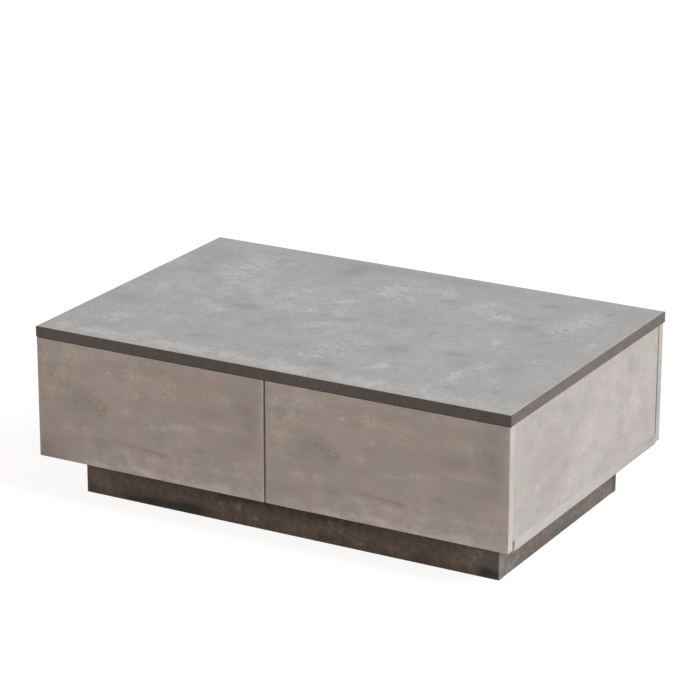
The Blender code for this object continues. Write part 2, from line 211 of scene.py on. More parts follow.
# %% [markdown]
# All the boards wear a printed stone decor under a hard clear film. The print is one long sheet: each
# board is cut from some place of it. So the pattern reads a map called decor, which gives the place on
# that sheet in metres, and one recipe serves every board. It layers the way the print does: slow
# clouds, broken patches, a crisp mottle and a dusty grain, each with its own strength. Red, green and
# blue drift a little apart from place to place, as in ground stone. Three more values ride on the mesh:
# smudge and fleck, listed board by board, and band, which tells the glued edge strip from the face.
# Smudge holds the print's smudges and also painted light: a painted sheen and painted shade on the
# top's edge strips, and a painted shadow along the top of the plinth front.

# %% Printed stone laminate
CLOUD = 0.150
PATCH = 0.036
MOTTLE = 0.0105
DUST = 0.0034
DRIFT = 0.075
PATCH_SHIFT = (3.1, 1.7, 0)
MOTTLE_SHIFT = (0.7, 5.3, 0)
TONE_PLACES = (0.0, 0.5, 1.0)
STRIP_SPAN = (-0.4, 1.4)
FILM_RELIEF = 0.00012

# The noise of the patches tears the smudges, and the painted light that rides with them, and mottle with
# dust in it breaks the flecks into chips
TORN_SPAN, TORN_SHARES = (0.38, 0.60), (0.4, 1.4)
CHIP_SPAN, CHIP_SHARES = (0.46, 0.62), (-0.15, 1.0)
CHIP_DUST = 0.6


def carried(tree, name):
    """A value that rides on the mesh."""
    return node(tree, "Attribute", settings={"attribute_name": name}).outputs["Fac"]


def add_layer(tree, below, noise, strength):
    """Lay a noise over what is below it: its distance from one half, times a strength."""
    return calc(tree, "MULTIPLY_ADD", calc(tree, "SUBTRACT", noise, 0.5), strength, below)


def add_marks(tree, below, name, torn, strength):
    """Lay the marks that ride on the mesh, torn by a noise, over what is below them."""
    return calc(tree, "MULTIPLY_ADD", calc(tree, "MULTIPLY", carried(tree, name), torn), strength, below)


def stone_laminate(name, face, strip, swing, strengths, hand, drift, film, index, way=(1.0, 1.0, 1.0)):
    """The decor of a board.

    face is three tones, from dark to light. strip is the tone of the edge, and swing how far the print
    takes it up and down. strengths are those of clouds, patches, mottle and dust, and hand those of
    smudges, with the painted light among them, and flecks. drift is how far red, green and blue stray.
    film is the roughness of the clear film, and index its refractive index. way stretches the patches
    and the mottle.
    """
    finish, tree, shader = new_finish(name)
    sheet = node(tree, "UVMap", settings={"uv_map": "decor"}).outputs[0]
    warp = calc_place(tree, "ADD", cloud(tree, sheet, CLOUD, 2.0, 0.5, "Color"), (-0.5, -0.5, -0.5))
    place = calc_place(tree, "ADD", sheet, calc_place(tree, "SCALE", warp, Scale=PATCH))

    clouds = cloud(tree, place, CLOUD, 3.0, 0.5)
    patches = cloud(tree, stretched(tree, place, way, PATCH_SHIFT), PATCH, 8.0, 0.66)
    mottle = cloud(tree, stretched(tree, sheet, way, MOTTLE_SHIFT), MOTTLE, 6.0, 0.70)
    dust = cloud(tree, sheet, DUST, 3.0, 0.75)
    value = 0.5
    for noise, strength in zip((clouds, patches, mottle, dust), strengths):
        value = add_layer(tree, value, noise, strength)
    torn = fit_range(tree, patches, TORN_SPAN, TORN_SHARES)
    value = add_marks(tree, value, "smudge_and_painted_light", torn, hand[0])
    chips = fit_range(tree, add_layer(tree, mottle, dust, CHIP_DUST), CHIP_SPAN, CHIP_SHARES)
    value = add_marks(tree, value, "fleck", chips, hand[1])

    ramp = node(tree, "ValToRGB", value)
    stops = ramp.color_ramp.elements
    stops.new(TONE_PLACES[1])
    for stop, position, colour in zip(stops, TONE_PLACES, face):
        stop.position, stop.color = position, colour
    stray = cloud(tree, place, DRIFT, 3.0, 0.5, "Color")
    tint = calc_place(tree, "MULTIPLY_ADD", stray, drift, tuple(1 - share / 2 for share in drift))
    printed = blend(tree, 1.0, ramp.outputs[0], tint, "MULTIPLY")
    shade = fit_range(tree, value, STRIP_SPAN, (1 - swing, 1 + swing))
    shades = node(tree, "CombineColor", shade, shade, shade).outputs[0]
    edge = blend(tree, 1.0, strip, shades, "MULTIPLY")

    relief = dent(tree, mix_numbers(tree, mottle, dust, 0.5), FILM_RELIEF, 0.35)
    dress(tree, shader, Base_Color=blend(tree, carried(tree, "band"), printed, edge),
          Roughness=uneven(tree, patches, film), Normal=relief, IOR=index)
    return finish


print("clouds, patches, mottle and dust, in metres:", CLOUD, PATCH, MOTTLE, DUST)

# %% [markdown]
# Three laminates come from that recipe: a cool grey one for the top, a dark warm one for the plinth
# and a light one for the body. The tones of a face run from its darkest patches to its lightest. The
# top's face tones are partly its own grey print and partly painted light: a painted sheen of the white
# surroundings, mirrored by the film at a low angle, and the stronger light on a face turned up. That
# is why the face is much lighter than its dark edge strip. On the body, the print is squeezed in
# height, so that its patches lie flat.

# %% Three laminates
top_stone = stone_laminate(
    "grey_stone_laminate", face=(tone(131, 132, 133), tone(157, 158, 159), tone(184, 185, 186)),
    strip=tone(74, 65, 59), swing=1.35, strengths=(0.40, 1.05, 0.95, 0.90), hand=(0.50, 0.85),
    drift=(0.008, 0.012, 0.008), film=0.42, index=1.50)
plinth_stone = stone_laminate(
    "dark_stone_laminate", face=(tone(39, 33, 29), tone(109, 98, 90), tone(158, 150, 144)),
    strip=tone(142, 135, 130), swing=0.80, strengths=(0.40, 0.80, 0.80, 0.60), hand=(0.40, 0.60),
    drift=(0.14, 0.08, 0.14), film=0.50, index=1.36)
body_stone = stone_laminate(
    "light_stone_laminate", face=(tone(146, 139, 137), tone(176, 170, 168), tone(206, 202, 201)),
    strip=tone(190, 185, 182), swing=0.72, strengths=(0.50, 0.75, 0.48, 0.55), hand=(0.36, 0.48),
    drift=(0.18, 0.12, 0.18), film=0.50, index=1.50, way=(1.0, 1.8, 1.0))
print("laminates:", [finish.name for finish in (top_stone, plinth_stone, body_stone)])

# %% [markdown]
# One function makes the skin of every closed piece that has two ends: boards, screws, cams and
# balls. It is a grid of points that fills the upper face, loops that go down round the side, and a
# second grid that fills the lower face. The outline decides whether the loops are oblong or round.
# A list of insets and levels, one pair for each loop, is the profile.

# %% The skin of a closed piece
def oblong(half_length, half_breadth):
    """An outline of straight sides: each grid line lands at its share of the half size, less the inset."""
    def outline(u, v, inset):
        return u * (half_length - inset), v * (half_breadth - inset)
    return outline


def round_outline(radius):
    """A round outline: x is u times the root of 1 - v*v/2, and y likewise, times the radius."""
    def outline(u, v, inset):
        reach = radius - inset
        return u * np.sqrt(1 - v * v / 2) * reach, v * np.sqrt(1 - u * u / 2) * reach
    return outline


def grid_faces(ids):
    """Faces between the neighbours of a grid of point numbers."""
    return np.stack([ids[:-1, :-1], ids[1:, :-1], ids[1:, 1:], ids[:-1, 1:]], -1).reshape(-1, 4)


def wall_faces(rings):
    """Faces between closed rings of point numbers, one ring to a row."""
    onward = np.roll(rings, -1, axis=1)
    return np.stack([rings[:-1], rings[1:], onward[1:], onward[:-1]], -1).reshape(-1, 4)


def skin(u, v, outline, loops, relief=0.0):
    """Points and faces of a closed skin, as arrays: those of the upper face, the side, the lower face.

    u and v are grid lines from -1 to 1. Loop k repeats the grid's border at an inset and a level, and
    the first and last loops are filled by the grid itself. relief lowers the points of the upper face.
    """
    along, across = np.meshgrid(u, v, indexing="ij")
    loops = np.asarray(loops, float)
    nu, nv = len(u) - 1, len(v) - 1
    i = np.concatenate([np.arange(nu), np.full(nv, nu), np.arange(nu, 0, -1), np.zeros(nv, int)])
    j = np.concatenate([np.zeros(nu, int), np.arange(nv), np.full(nu, nv), np.arange(nv, 0, -1)])
    insets, levels = loops[1:-1, 0, None], loops[1:-1, 1, None]
    x, y = outline(along[i, j][None], across[i, j][None], insets)
    sides = np.stack([x, y, np.broadcast_to(levels, x.shape)], -1).reshape(-1, 3)
    ends = []
    for (inset, level), sink in ((loops[0], relief), (loops[-1], 0.0)):
        x, y = outline(along, across, inset)
        ends.append(np.stack([x, y, np.full(x.shape, level) - sink], -1).reshape(-1, 3))
    points = np.concatenate([ends[0], sides, ends[1]])

    upper = np.arange(along.size).reshape(along.shape)
    rings = along.size + np.arange(len(sides)).reshape(len(loops) - 2, len(i))
    lower = upper + along.size + len(sides)
    wall = wall_faces(np.concatenate([upper[i, j][None], rings, lower[i, j][None]]))
    return points, np.concatenate([grid_faces(upper), wall, grid_faces(lower)[:, ::-1]])


def quarter(inset, level, radius, steps):
    """Loops of a quarter round, from a face out to the side: radius times 1 - sin a, and cos a."""
    angle = np.linspace(0, math.pi / 2, steps + 1)
    return [(inset + radius * (1 - math.sin(a)), level + radius * math.cos(a)) for a in angle]


corners_only = np.array((-1.0, 1.0))
plain_block = skin(corners_only, corners_only, oblong(1, 1), [(0, 1), (0, -1)])
print("faces of a plain block:", len(plain_block[1]))

# %% [markdown]
# Balls, screws and holes repeat, and a cage is put together from bars and strips. Their skins are
# copied, joined and turned as arrays, before anything becomes a mesh.

# %% Join, repeat and turn skins
def gather(parts):
    """Several closed skins as one list of points and one of faces."""
    offsets = np.cumsum([0] + [len(points) for points, _ in parts[:-1]])
    faces = [faces + offset for (_, faces), offset in zip(parts, offsets)]
    return np.concatenate([points for points, _ in parts]), np.concatenate(faces)


def repeat(points, faces, places):
    """Copies of one skin at many places, as one list of points and one of faces."""
    places = np.asarray(places, float)
    many = (points[None] + places[:, None]).reshape(-1, 3)
    steps = np.arange(len(places))[:, None, None] * len(points)
    return many, (faces[None] + steps).reshape(-1, faces.shape[1])


def lay(points, at, axes):
    """Turn local points by three axes and set them at a place."""
    return points @ np.array(axes, float) + np.array(at, float)


print("points of two blocks:", len(repeat(*plain_block, [(0, 0, 0), (3, 0, 0)])[0]))

# %% [markdown]
# A mesh becomes a piece of the table once it has its finish and rides on the body that carries it,
# and the solids of the frame that it stands for are hidden. The points are already where the real
# piece is, so the object itself stays at the origin. Sharp rims are found by their angle and the rest
# is shaded smooth. A groove or a hole is stamped out afterwards by a closed skin, which is then thrown
# away.

# %% From arrays to a piece
SHARP = math.radians(32)
made_pieces = {}


def room(node_name):
    """The middle and the half size of a solid's box."""
    low, high = (np.array(corner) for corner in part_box(node_name))
    return (low + high) / 2, (high - low) / 2


def turn_outwards(mesh):
    """Make the faces of closed skins look outwards."""
    shape = bmesh.new()
    shape.from_mesh(mesh)
    bmesh.ops.recalc_face_normals(shape, faces=shape.faces)
    shape.to_mesh(mesh)
    shape.free()


def piece(name, points, faces, finish, slot, carrier, stands_for=(), decor=None, values=None):
    """Make the mesh, hang it on the body of a solid, and hide the solids that it stands for."""
    mesh = bpy.data.meshes.new(name)
    mesh.from_pydata(points.tolist(), [], faces.tolist())
    if decor is not None:
        mesh.uv_layers.new(name="decor").data.foreach_set("uv", decor.astype(np.float32).ravel())
    for key, numbers in (values or {}).items():
        mesh.attributes.new(key, "FLOAT", "POINT").data.foreach_set("value", numbers.astype(np.float32))
    turn_outwards(mesh)
    mesh.shade_smooth()
    mesh.set_sharp_from_angle(angle=SHARP)
    mesh.materials.append(finish)
    thing = in_scene(name, mesh)
    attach(thing, body_of_node[carrier])
    if stands_for:
        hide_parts(*stands_for)
    made_pieces[name] = len(mesh.polygons)
    return thing


def cut_out(thing, points, faces):
    """Stamp a closed skin out of a piece and keep the result."""
    mesh = bpy.data.meshes.new("cutter")
    mesh.from_pydata(points.tolist(), [], faces.tolist())
    turn_outwards(mesh)
    cutter = in_scene("cutter", mesh)
    stamp = thing.modifiers.new("stamp", "BOOLEAN")
    stamp.operation = "DIFFERENCE"
    stamp.solver = "EXACT"
    stamp.object = cutter
    bpy.context.view_layer.update()
    stamped = bpy.data.meshes.new_from_object(thing.evaluated_get(bpy.context.evaluated_depsgraph_get()))
    thing.modifiers.clear()
    thing.data = stamped
    bpy.data.objects.remove(cutter, do_unlink=True)


def count_made(*endings):
    """How many pieces have a name with one of these endings."""
    return sum(name.endswith(endings) for name in made_pieces)


print("top panel, half size in metres:", room("top_panel")[1].round(4))

# %% [markdown]
# A furniture board is chipboard pressed between two laminate faces, and its cut edges are covered with
# a one-millimetre strip that is glued on and trimmed. Seen close, each face ends in a hair-thin glue
# line one millimetre from the rim, and the rim of the strip is rounded. A plain box with a bevel has
# neither, so the profile here goes from the face down into the glue line, over the strip's rounded
# rim, down the edge, and back in the same way.

# %% Banded boards
STRIP = 0.0010
STRIP_ROUNDING = 0.0008
GLUE_LINE = 0.00020
GLUE_DEPTH = 0.00010
SUPPORT = 0.0004
ROUNDING_STEPS = 4


def board_profile(thickness):
    """Insets and levels from one face to the other, about the middle of the thickness."""
    half = thickness / 2
    upper = [(STRIP + GLUE_LINE, half), (STRIP + GLUE_LINE / 2, half - GLUE_DEPTH), (STRIP, half),
             *quarter(0, half - STRIP_ROUNDING, STRIP_ROUNDING, ROUNDING_STEPS),
             (0, half - STRIP_ROUNDING - SUPPORT)]
    return upper + [(inset, -level) for inset, level in reversed(upper)]


print("loops round a board of 16 mm:", len(board_profile(0.016)))

# %% [markdown]
# Each board gets its size and its place from its solid. Every corner of a face learns where it lies on
# the printed sheet, and every point how much smudge, with its painted light, and fleck it has. Those
# two need a fine grid, so only a board with marks has one.

# %% Cut, mark and lay a board
FINE_CELL = 0.004
COARSE_CELL = 0.050
CELLS_ACROSS_A_MARK = 4
MM_PER_METRE = 1000
TENTHS = 10

# Along which axes the length, the breadth and the thickness of a board run
X, Y, Z = np.eye(3)
FACING = {"up": (X, Y, Z), "sideways": (Y, Z, X), "forwards": (X, Z, -Y)}


def lay_marks(points, marks):
    """Smudge, with the painted light that rides in it, and fleck at each point.

    Each mark adds its strengths times e to the minus squared distance, measured in its own half sizes.
    """
    if not marks:
        return np.zeros((2, len(points)))
    x, y, half_width, half_height, smudge_and_painted_light, fleck = (column[:, None] for column in np.asarray(marks, float).T)
    across, up = points[:, 0] * MM_PER_METRE, points[:, 1] * MM_PER_METRE
    near = np.exp(-((across - x) / half_width) ** 2 - ((up - y) / half_height) ** 2)
    return (smudge_and_painted_light / TENTHS * near).sum(0), (fleck / TENTHS * near).sum(0)


def decor_places(points, faces, face_count, rim, cut_at):
    """Where each corner of each face lies on the printed sheet, in metres.

    The upper and the lower face take their own flat places, and face_count is how many faces each has.
    The strip takes the way along its edge and the way across it.
    """
    corners = points[faces]
    places = corners[..., :2].copy()
    strip = corners[face_count:-face_count]
    length, breadth = rim
    sides_of_length = np.abs(strip[..., 1]).mean(1, keepdims=True) > breadth / 2 - 2 * STRIP
    way = np.where(sides_of_length, strip[..., 0], strip[..., 1] + length)
    places[face_count:-face_count] = np.stack([way, strip[..., 2] - breadth], -1)
    places[-face_count:] += (0, breadth)
    return (places + np.array(cut_at)).reshape(-1, 2)


def banded_board(node_name, facing, finish, slot, cut_at, marks=None, groove=None):
    """Cut one board to its solid's size, band it, and lay it in place."""
    middle, half = room(node_name)
    axes = np.array(FACING[facing])
    size = np.abs(axes @ (2 * half))
    cell = COARSE_CELL
    if marks:
        narrowest = min(min(mark[2:4]) for mark in marks) / MM_PER_METRE
        cell = min(max(narrowest / CELLS_ACROSS_A_MARK, FINE_CELL), COARSE_CELL)
    u, v = (np.linspace(-1, 1, max(2, round(reach / cell)) + 1) for reach in size[:2])
    points, faces = skin(u, v, oblong(size[0] / 2, size[1] / 2), board_profile(size[2]))
    decor = decor_places(points, faces, (len(u) - 1) * (len(v) - 1), size[:2], cut_at)
    band = np.ones(len(points))
    for on_face in (slice(0, u.size * v.size), slice(-u.size * v.size, None)):
        band[on_face] = 0
    smudge_and_painted_light, fleck = lay_marks(points, marks)
    values = {"band": band, "smudge_and_painted_light": smudge_and_painted_light, "fleck": fleck}
    board = piece(node_name + "_laminated", lay(points, middle, axes), faces, finish, slot, node_name,
                  [node_name], decor, values)
    if groove:
        cut_groove(board, groove)
    return board


def cut_groove(board, around):
    """Cut the room for another solid, a hair larger than it all round, out of a board."""
    middle, half = room(around)
    length, breadth, height = half + GLUE_LINE
    block, faces = skin(corners_only, corners_only, oblong(length, breadth), [(0, height), (0, -height)])
    cut_out(board, block + middle, faces)


print("board cells, in metres:", FINE_CELL, "to", COARSE_CELL)

# %% [markdown]
# Large smudges make a print recognisable, and no noise puts them where one wants them. So they are
# listed one by one, as a decor designer would dab them on. Each row gives a place on the board, from its
# middle, and half a width and height, in millimetres. Then come the strengths in tenths, of the soft
# smudge and of the crisp flecks in it, where a negative one darkens. The noise tears their rims. Most
# rows are smudges of the print, but some are painted light: a painted sheen and painted shade on the
# top's edge strips, and a painted shadow along the top of the plinth front.

# %% Smudges of the decor, and painted light
# On the top, the narrow rows at x 450 and at y -300 lie on the edge strips and are painted light: a painted
# sheen makes the right strip lighter, and painted shade makes the front strip darker.
top_marks_and_painted_light = (
    (-10, 175, 30, 34, 4, 9), (-15, 148, 14, 10, 6, 9), (75, 210, 18, 16, 6, 8), (35, 142, 16, 10, 4, 5),
    (218, 132, 18, 12, 6, 6), (172, 165, 36, 40, 4, 1), (-138, 103, 16, 8, 5, 6), (-60, 80, 16, 15, 7, 9),
    (-35, 35, 18, 26, 2, 5), (-130, 2, 24, 14, 6, 9), (-88, 5, 14, 9, 4, 7), (-150, 55, 30, 16, 3, 2),
    (-230, 60, 24, 24, 3, 3), (-300, 190, 36, 34, 3, 5), (-310, 115, 34, 44, 3, 5), (-385, 2, 10, 18, 4, 5),
    (-28, -52, 14, 18, 4, 4), (40, -145, 45, 38, 0, 5), (25, -203, 22, 10, 6, 6), (156, -185, 9, 16, 7, 10),
    (143, -215, 8, 7, 5, 8), (-365, -192, 16, 32, 5, 4), (286, -180, 9, 38, 5, 5), (269, 5, 9, 20, 6, 5),
    (348, 190, 22, 45, 3, 7), (340, 110, 35, 40, 1, 5), (310, -110, 18, 30, 1, 4), (420, 70, 12, 25, 4, 3),
    (370, -50, 24, 14, 3, 2), (-235, -65, 26, 20, 3, 2), (-285, -40, 18, 14, 3, 4), (-435, 135, 12, 12, 4, 3),
    (-20, -274, 430, 22, 5, 1), (-188, -30, 20, 15, -8, -6), (-4, -10, 13, 10, -7, -5),
    (-50, -5, 10, 14, -5, -2), (155, 0, 5, 13, -7, -3), (-128, 238, 24, 34, -7, -3),
    (30, 272, 130, 16, -4, -1), (-130, 275, 70, 14, -4, -2), (265, 228, 16, 12, -6, -6),
    (310, 225, 40, 22, -3, -2), (376, 236, 8, 12, -5, -5), (-270, 230, 12, 16, -5, -4),
    (-400, 215, 55, 32, -4, -1), (-385, 150, 12, 10, -4, -6), (-370, 108, 20, 14, -3, -6),
    (-325, 80, 16, 16, -2, -6), (267, 152, 9, 8, -5, -6), (280, 100, 18, 16, -4, -7),
    (322, 80, 16, 16, -3, -7), (345, 48, 8, 8, -3, -6), (97, 165, 16, 9, -5, -6), (63, 85, 12, 20, -4, -1),
    (82, 25, 18, 24, -3, -1), (140, -105, 26, 24, -6, -5), (238, -80, 28, 12, -5, -4),
    (270, -112, 16, 14, -4, -5), (352, -108, 20, 18, -4, -2), (-400, -88, 55, 26, -5, -2),
    (-186, -205, 15, 14, -6, -3), (-350, -232, 20, 12, -3, -7), (75, -230, 20, 13, -6, -5),
    (305, -230, 10, 8, -4, -8), (-130, -110, 14, 24, -3, -2), (-105, -72, 24, 16, -3, -2),
    (380, -212, 16, 12, -4, -3), (-15, -172, 12, 10, -3, -4), (-215, -30, 12, 12, -4, -3),
    (450, 0, 3, 600, 4.4, 0), (0, -300, 700, 3, -2.8, 0), (-330, 0, 160, 300, 2, 0),
    (450, -260, 3, 110, 2.5, 0), (-280, -262, 120, 26, 2, 0), (400, -60, 90, 300, -1, 0),
    (350, 262, 120, 30, -2, 0), (-20, 60, 180, 200, 0.8, 0),
)
# On the fronts, the wide row at y -104 makes both lighter along their lower edge.
front_marks = (
    (-28, 72, 22, 9, 3, 6), (-78, 68, 7, 7, 2, 7), (-23, 34, 5, 4, 4, 6), (10, 38, 6, 3, 3, 5),
    (150, 58, 18, 12, 4, 2), (-165, 65, 28, 26, 3, 2), (20, -14, 28, 6, 3, 2), (70, -4, 34, 5, 3, 2),
    (150, 8, 50, 5, 4, 2), (-160, -45, 14, 7, 3, 3), (-132, -46, 8, 5, 2, 3), (-45, 10, 10, 20, 3, 2),
    (-20, -70, 60, 8, 3, 1), (110, -66, 60, 9, 3, 1), (0, -100, 190, 8, 4, 2), (-205, 72, 8, 18, 2, 5),
    (30, 55, 24, 14, 1, 4), (-125, 10, 34, 18, -5, -8), (-96, -2, 14, 16, -4, -9), (-197, 46, 6, 4, -6, -6),
    (-2, 80, 12, 6, -3, -8), (122, 28, 30, 14, -4.5, -3), (188, 50, 22, 12, -4, -3),
    (186, -14, 26, 16, -4, -3), (108, 0, 14, 7, -3, -3), (95, -40, 14, 5, -6, -3), (-40, -55, 20, 4, -7, -2),
    (0, -59, 20, 4, -12, -2), (28, -62, 12, 4, -9, -2), (-50, -94, 6, 4, -9, -3), (-95, -63, 14, 7, -6, -4),
    (-170, -72, 26, 12, -4, -7), (-165, -12, 24, 5, -4, -4), (165, -80, 20, 6, -3, -2),
    (-85, 40, 16, 8, -2, -3), (-30, 20, 24, 10, -3, -4), (-55, -15, 20, 10, -2, -4),
    (140, 82, 50, 10, -3, -3), (-140, -28, 30, 8, -3, -3), (170, 40, 50, 50, -3, 0),
    (-205, -60, 14, 40, -3, -2), (200, 20, 14, 30, -3, -2), (-55, 62, 12, 8, -3, -5),
    (40, -104, 200, 20, 6, 0), (200, 50, 50, 70, -3, 0), (-190, 40, 40, 50, 1.8, 0), (222, 80, 6, 90, 5.5, 0),
    (60, 10, 110, 50, -1, 0), (175, -74, 40, 14, 2, 0), (-40, -74, 40, 12, 2.5, 0), (-90, 96, 70, 12, 2, 0),
    (130, -20, 36, 30, -2, 0), (-222, -90, 40, 24, -5, 0),
)
left_front_marks = ((-200, -102, 45, 18, -15, 0), (-75, 98, 60, 14, 2, 0), (-60, 45, 90, 60, 0.6, 0))
right_front_marks = (
    (60, 5, 200, 70, -2.4, 0), (196, 90, 20, 26, -3, 0), (-200, 0, 24, 110, 2, 0), (-190, -100, 30, 14, 4, 0),
)
side_marks = (
    (-188, 75, 12, 10, -5, -5), (-222, 45, 20, 12, -4, -4), (-95, 70, 16, 12, -5, -4),
    (-85, -32, 20, 12, -6, -4), (-110, 0, 40, 16, -3, -3), (-200, 5, 40, 25, -3, -3),
    (-140, -50, 30, 10, -4, -3), (165, 60, 14, 14, -4, -2), (15, 45, 10, 10, -2, -2), (90, 0, 14, 8, -2, -2),
    (90, -70, 14, 10, -2, -4), (-195, -35, 8, 7, 4, 6), (-130, 22, 10, 5, 3, 5), (-160, 2, 10, 8, 1, 3),
    (0, -20, 34, 16, 1, 1), (-30, -30, 25, 10, 1, 3), (190, -20, 30, 30, 3, 1), (-75, -45, 8, 6, 2, 4),
    (30, -65, 22, 16, 2, 1), (120, 60, 40, 14, 2, 1), (-85, 15, 20, 10, 1, 3), (-60, -65, 30, 12, 2, 2),
    (130, -65, 60, 30, 2, 0), (243, -65, 30, 36, -2.2, 0), (-250, 55, 25, 20, -1.5, 0),
    (-215, -84, 60, 14, 2.2, 0), (-103, -55, 30, 14, -2, 0), (-34, -41, 30, 22, -2, 0),
    (104, 10, 30, 90, 1.5, 0),
)
# On the plinth front, the rows at y 16 and 39 that run across the whole board are a painted shadow: a dark
# band along its top, where the body above shades it.
plinth_marks_and_painted_shadow = (
    (-95, -12, 14, 12, 3, 8), (-60, -22, 10, 6, 4, 9), (-130, -10, 12, 12, 2, 5), (140, -25, 8, 6, 3, 8),
    (90, -8, 22, 10, 3, 6), (-300, 0, 4, 26, 3, 2), (348, -5, 16, 30, 6, 2), (-255, -31, 26, 8, -18, -5),
    (-190, -29, 28, 9, -18, -5), (-300, -33, 24, 7, -12, -3), (385, -30, 24, 10, -18, -5),
    (-30, 8, 8, 12, -8, -6), (-120, 10, 8, 8, -3, -5), (0, 16, 320, 19, -17, 0), (0, 39, 340, 14, -10, 0),
    (-215, -34, 70, 10, -2, 0), (-350, -15, 50, 30, 2.5, 0), (280, -20, 110, 22, 1.8, 0),
    (0, -24, 400, 16, 1.0, 0), (-270, -8, 70, 14, 1.2, 0),
)
plinth_side_marks = (
    (0, 0, 400, 60, 0.5, 1), (-190, 0, 50, 60, 4, 0), (-20, -34, 130, 14, -5.5, 0),
    (-190, -10, 24, 16, 4, 0), (190, -20, 24, 30, 1.5, 0),
)
# This row makes the end strip of the plinth's back board much darker.
plinth_back_marks = ((401, 0, 24, 60, -20, 0),)
bottom_marks = ((450, -150, 60, 200, -2, 0), (450, 270, 60, 140, -9, 0))
back_marks = ((450, 0, 60, 200, -7, 0),)
print("smudges:", len(top_marks_and_painted_light), len(front_marks), len(side_marks), len(plinth_marks_and_painted_shadow))

# %% [markdown]
# Each board takes the way its face looks, its finish, and the place on the printed sheet that it is cut
# from. Places far apart never show the same clouds. Only the two fronts share a place, because the real
# pair repeats one print, and each then gets a few smudges of its own. The thin bottom of a drawer lies
# in a groove of its front.

# %% Cut and place the boards
BOARDS = (
    ("top_panel", "up", top_stone, "dark_laminate", (0.0, 0.0), top_marks_and_painted_light),
    ("bottom_panel", "up", body_stone, "light_laminate", (5.1, 0.3), bottom_marks),
    ("left_side_panel", "sideways", body_stone, "light_laminate", (7.3, 1.9), None),
    ("right_side_panel", "sideways", body_stone, "light_laminate", (9.4, 3.2), side_marks),
    ("centre_partition", "sideways", body_stone, "light_laminate", (11.2, 4.1), None),
    ("back_panel", "forwards", body_stone, "light_laminate", (13.6, 5.7), back_marks),
    ("plinth_front_board", "forwards", plinth_stone, "dark_laminate", (15.2, 6.4), plinth_marks_and_painted_shadow),
    ("plinth_back_board", "forwards", plinth_stone, "dark_laminate", (17.9, 7.7), plinth_back_marks),
    ("plinth_left_board", "sideways", plinth_stone, "dark_laminate", (19.3, 8.8), None),
    ("plinth_centre_board", "sideways", plinth_stone, "dark_laminate", (21.6, 9.2), None),
    ("plinth_right_board", "sideways", plinth_stone, "dark_laminate", (23.1, 10.5), plinth_side_marks),
)
FRONT_CUT = (25.4, 11.3)
for node_name, facing, finish, slot, cut_at, marks in BOARDS:
    banded_board(node_name, facing, finish, slot, cut_at, marks)
for side, own_marks in (("left", left_front_marks), ("right", right_front_marks)):
    banded_board(side + "_drawer_front", "forwards", body_stone, "light_laminate", FRONT_CUT,
                 front_marks + own_marks, side + "_drawer_bottom")
print("boards:", len(made_pieces), "with", sum(made_pieces.values()), "faces")

# %% [markdown]
# The slides are rolled from zinc-plated sheet steel. Bent sheet has one thickness all the way and
# round bends, never square ones, so the rail is a middle line with arcs in its corners, thickened to
# both sides and carried along the slide. Plating gives a cool grey metal with a faint cloudy spangle
# and fine lines along the way that the sheet went through the rolls.

# %% Zinc-plated steel
SPANGLE = 0.004
SPANGLE_SHARE = 0.35
ROLL_LINE = 0.0006
ROLLED = (1.0, 0.02, 1.0)
EVEN = (1.0, 1.0, 1.0)


def plated_steel(name, colour, roughness, along):
    """Metal with a crystal spangle, and fine lines that along stretches the way of the rolls."""
    finish, tree, shader = new_finish(name)
    place = object_place(tree)
    crystals = node(tree, "TexVoronoi", Vector=place, Scale=1 / SPANGLE).outputs["Color"]
    grey = node(tree, "RGBToBW", crystals).outputs[0]
    lines = cloud(tree, stretched(tree, place, along), ROLL_LINE, 2.0, 0.5)
    haze = cloud(tree, place, SPANGLE * 8, 4.0, 0.6)
    share = mix_numbers(tree, grey, haze, SPANGLE_SHARE)
    darker = [channel * 0.80 for channel in colour[:3]] + [1.0]
    dulled = calc(tree, "MULTIPLY_ADD", lines, 0.5, share)
    dress(tree, shader, Base_Color=blend(tree, share, darker, colour), Metallic=1.0,
          Roughness=fit_range(tree, dulled, (0.3, 1.1), (roughness - 0.06, roughness + 0.12)),
          Normal=dent(tree, lines, 0.00002, 0.5))
    return finish


rail_steel = plated_steel("zinc_plated_steel", tone(205, 208, 212), 0.30, ROLLED)
screw_steel = plated_steel("screw_steel", tone(196, 196, 192), 0.26, EVEN)
ball_steel = plated_steel("ball_steel", tone(226, 228, 230), 0.14, EVEN)
cam_zinc = plated_steel("die_cast_zinc", tone(190, 190, 186), 0.40, EVEN)
print("metals:", [finish.name for finish in (rail_steel, screw_steel, ball_steel, cam_zinc)])

# %% [markdown]
# A section drawn as a line with right-angled corners is quick to read and to change. One function puts
# an arc into each corner, as the rolls do, and another gives the line its thickness.

# %% Bent sheet carried along the slide
BEND_STEPS = 5


def rounded_line(corners, bend):
    """A line through right-angled corners, each turned by an arc, with its direction at each point.

    From a corner, the arc is the corner less d1 times r(1 - sin a) plus d2 times r(1 - cos a).
    """
    corners = np.asarray(corners, float)
    ways = np.diff(corners, axis=0)
    ways /= np.linalg.norm(ways, axis=1, keepdims=True)
    angle = np.linspace(0, math.pi / 2, BEND_STEPS + 1)[:, None]
    points, headings = [corners[:1]], [ways[:1]]
    for corner, before, after in zip(corners[1:-1], ways[:-1], ways[1:]):
        points.append(corner - before * bend * (1 - np.sin(angle)) + after * bend * (1 - np.cos(angle)))
        headings.append(before * np.cos(angle) + after * np.sin(angle))
    return np.concatenate(points + [corners[-1:]]), np.concatenate(headings + [ways[-1:]])


